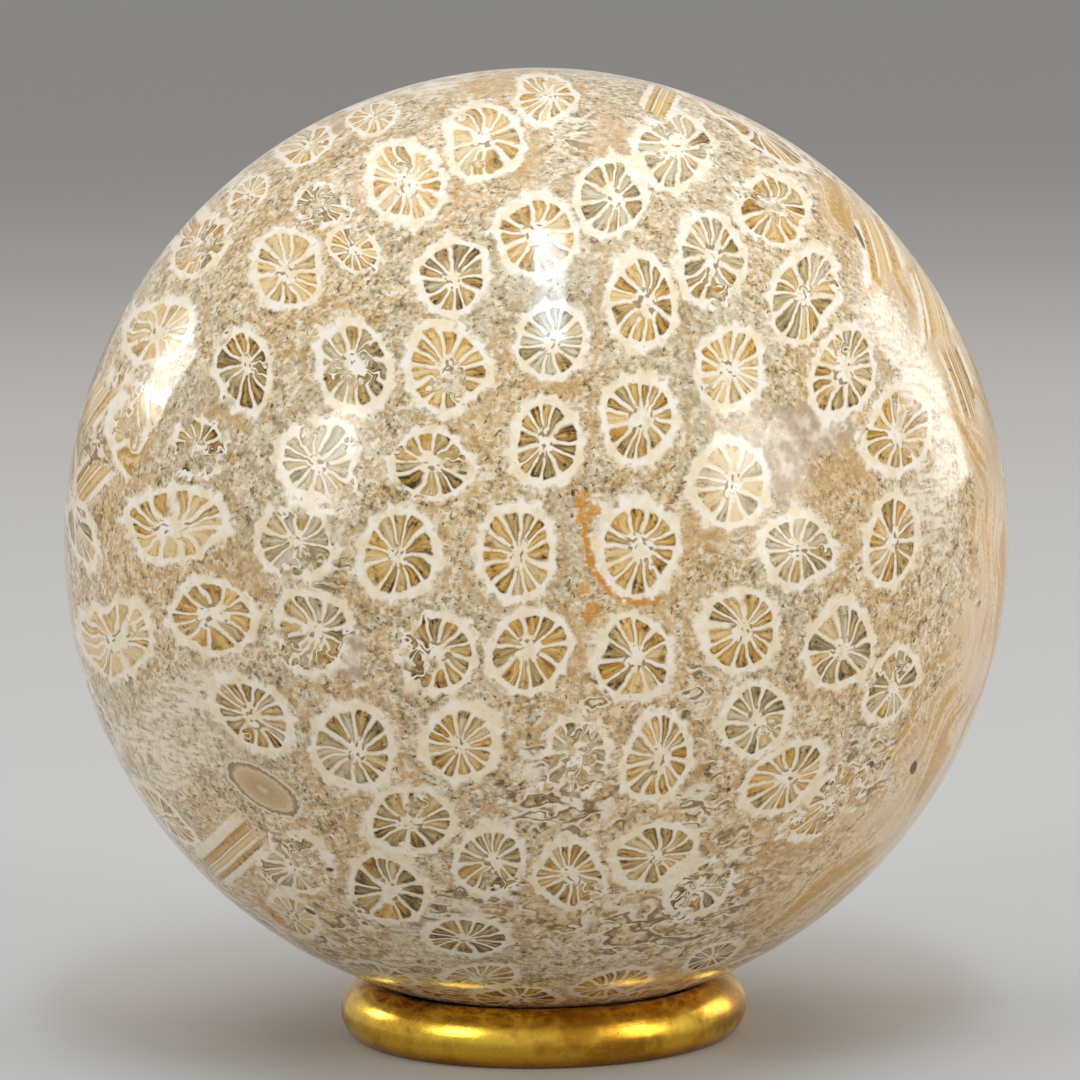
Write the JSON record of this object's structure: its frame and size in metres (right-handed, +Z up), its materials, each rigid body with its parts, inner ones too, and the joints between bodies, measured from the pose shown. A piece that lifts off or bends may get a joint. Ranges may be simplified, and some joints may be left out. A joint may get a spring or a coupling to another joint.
{
  "type": "fossil coral sphere on a ring stand",
  "caption": "Polished ball of fossil coral with flower-like corallite sections, resting on a round brass ring with a flat foot.",
  "frame": {"origin": "on the surface the ring stands on, under the middle of the ball", "axes": "+Z up through the middle of the ring and the ball; the ball's best side faces -Y; +X is to the right as seen from the front"},
  "size_m": [0.076, 0.076, 0.0781],
  "materials": {
    "fossil_coral": "high polish, cream corallite walls and amber to brown cells in a sandy beige matrix",
    "polished_brass": "satin polish with fine scratches"
  },
  "bodies": {
    "root": {"coral_sphere": "fossil_coral", "ring_stand": "polished_brass"}
  },
  "joints": []
}
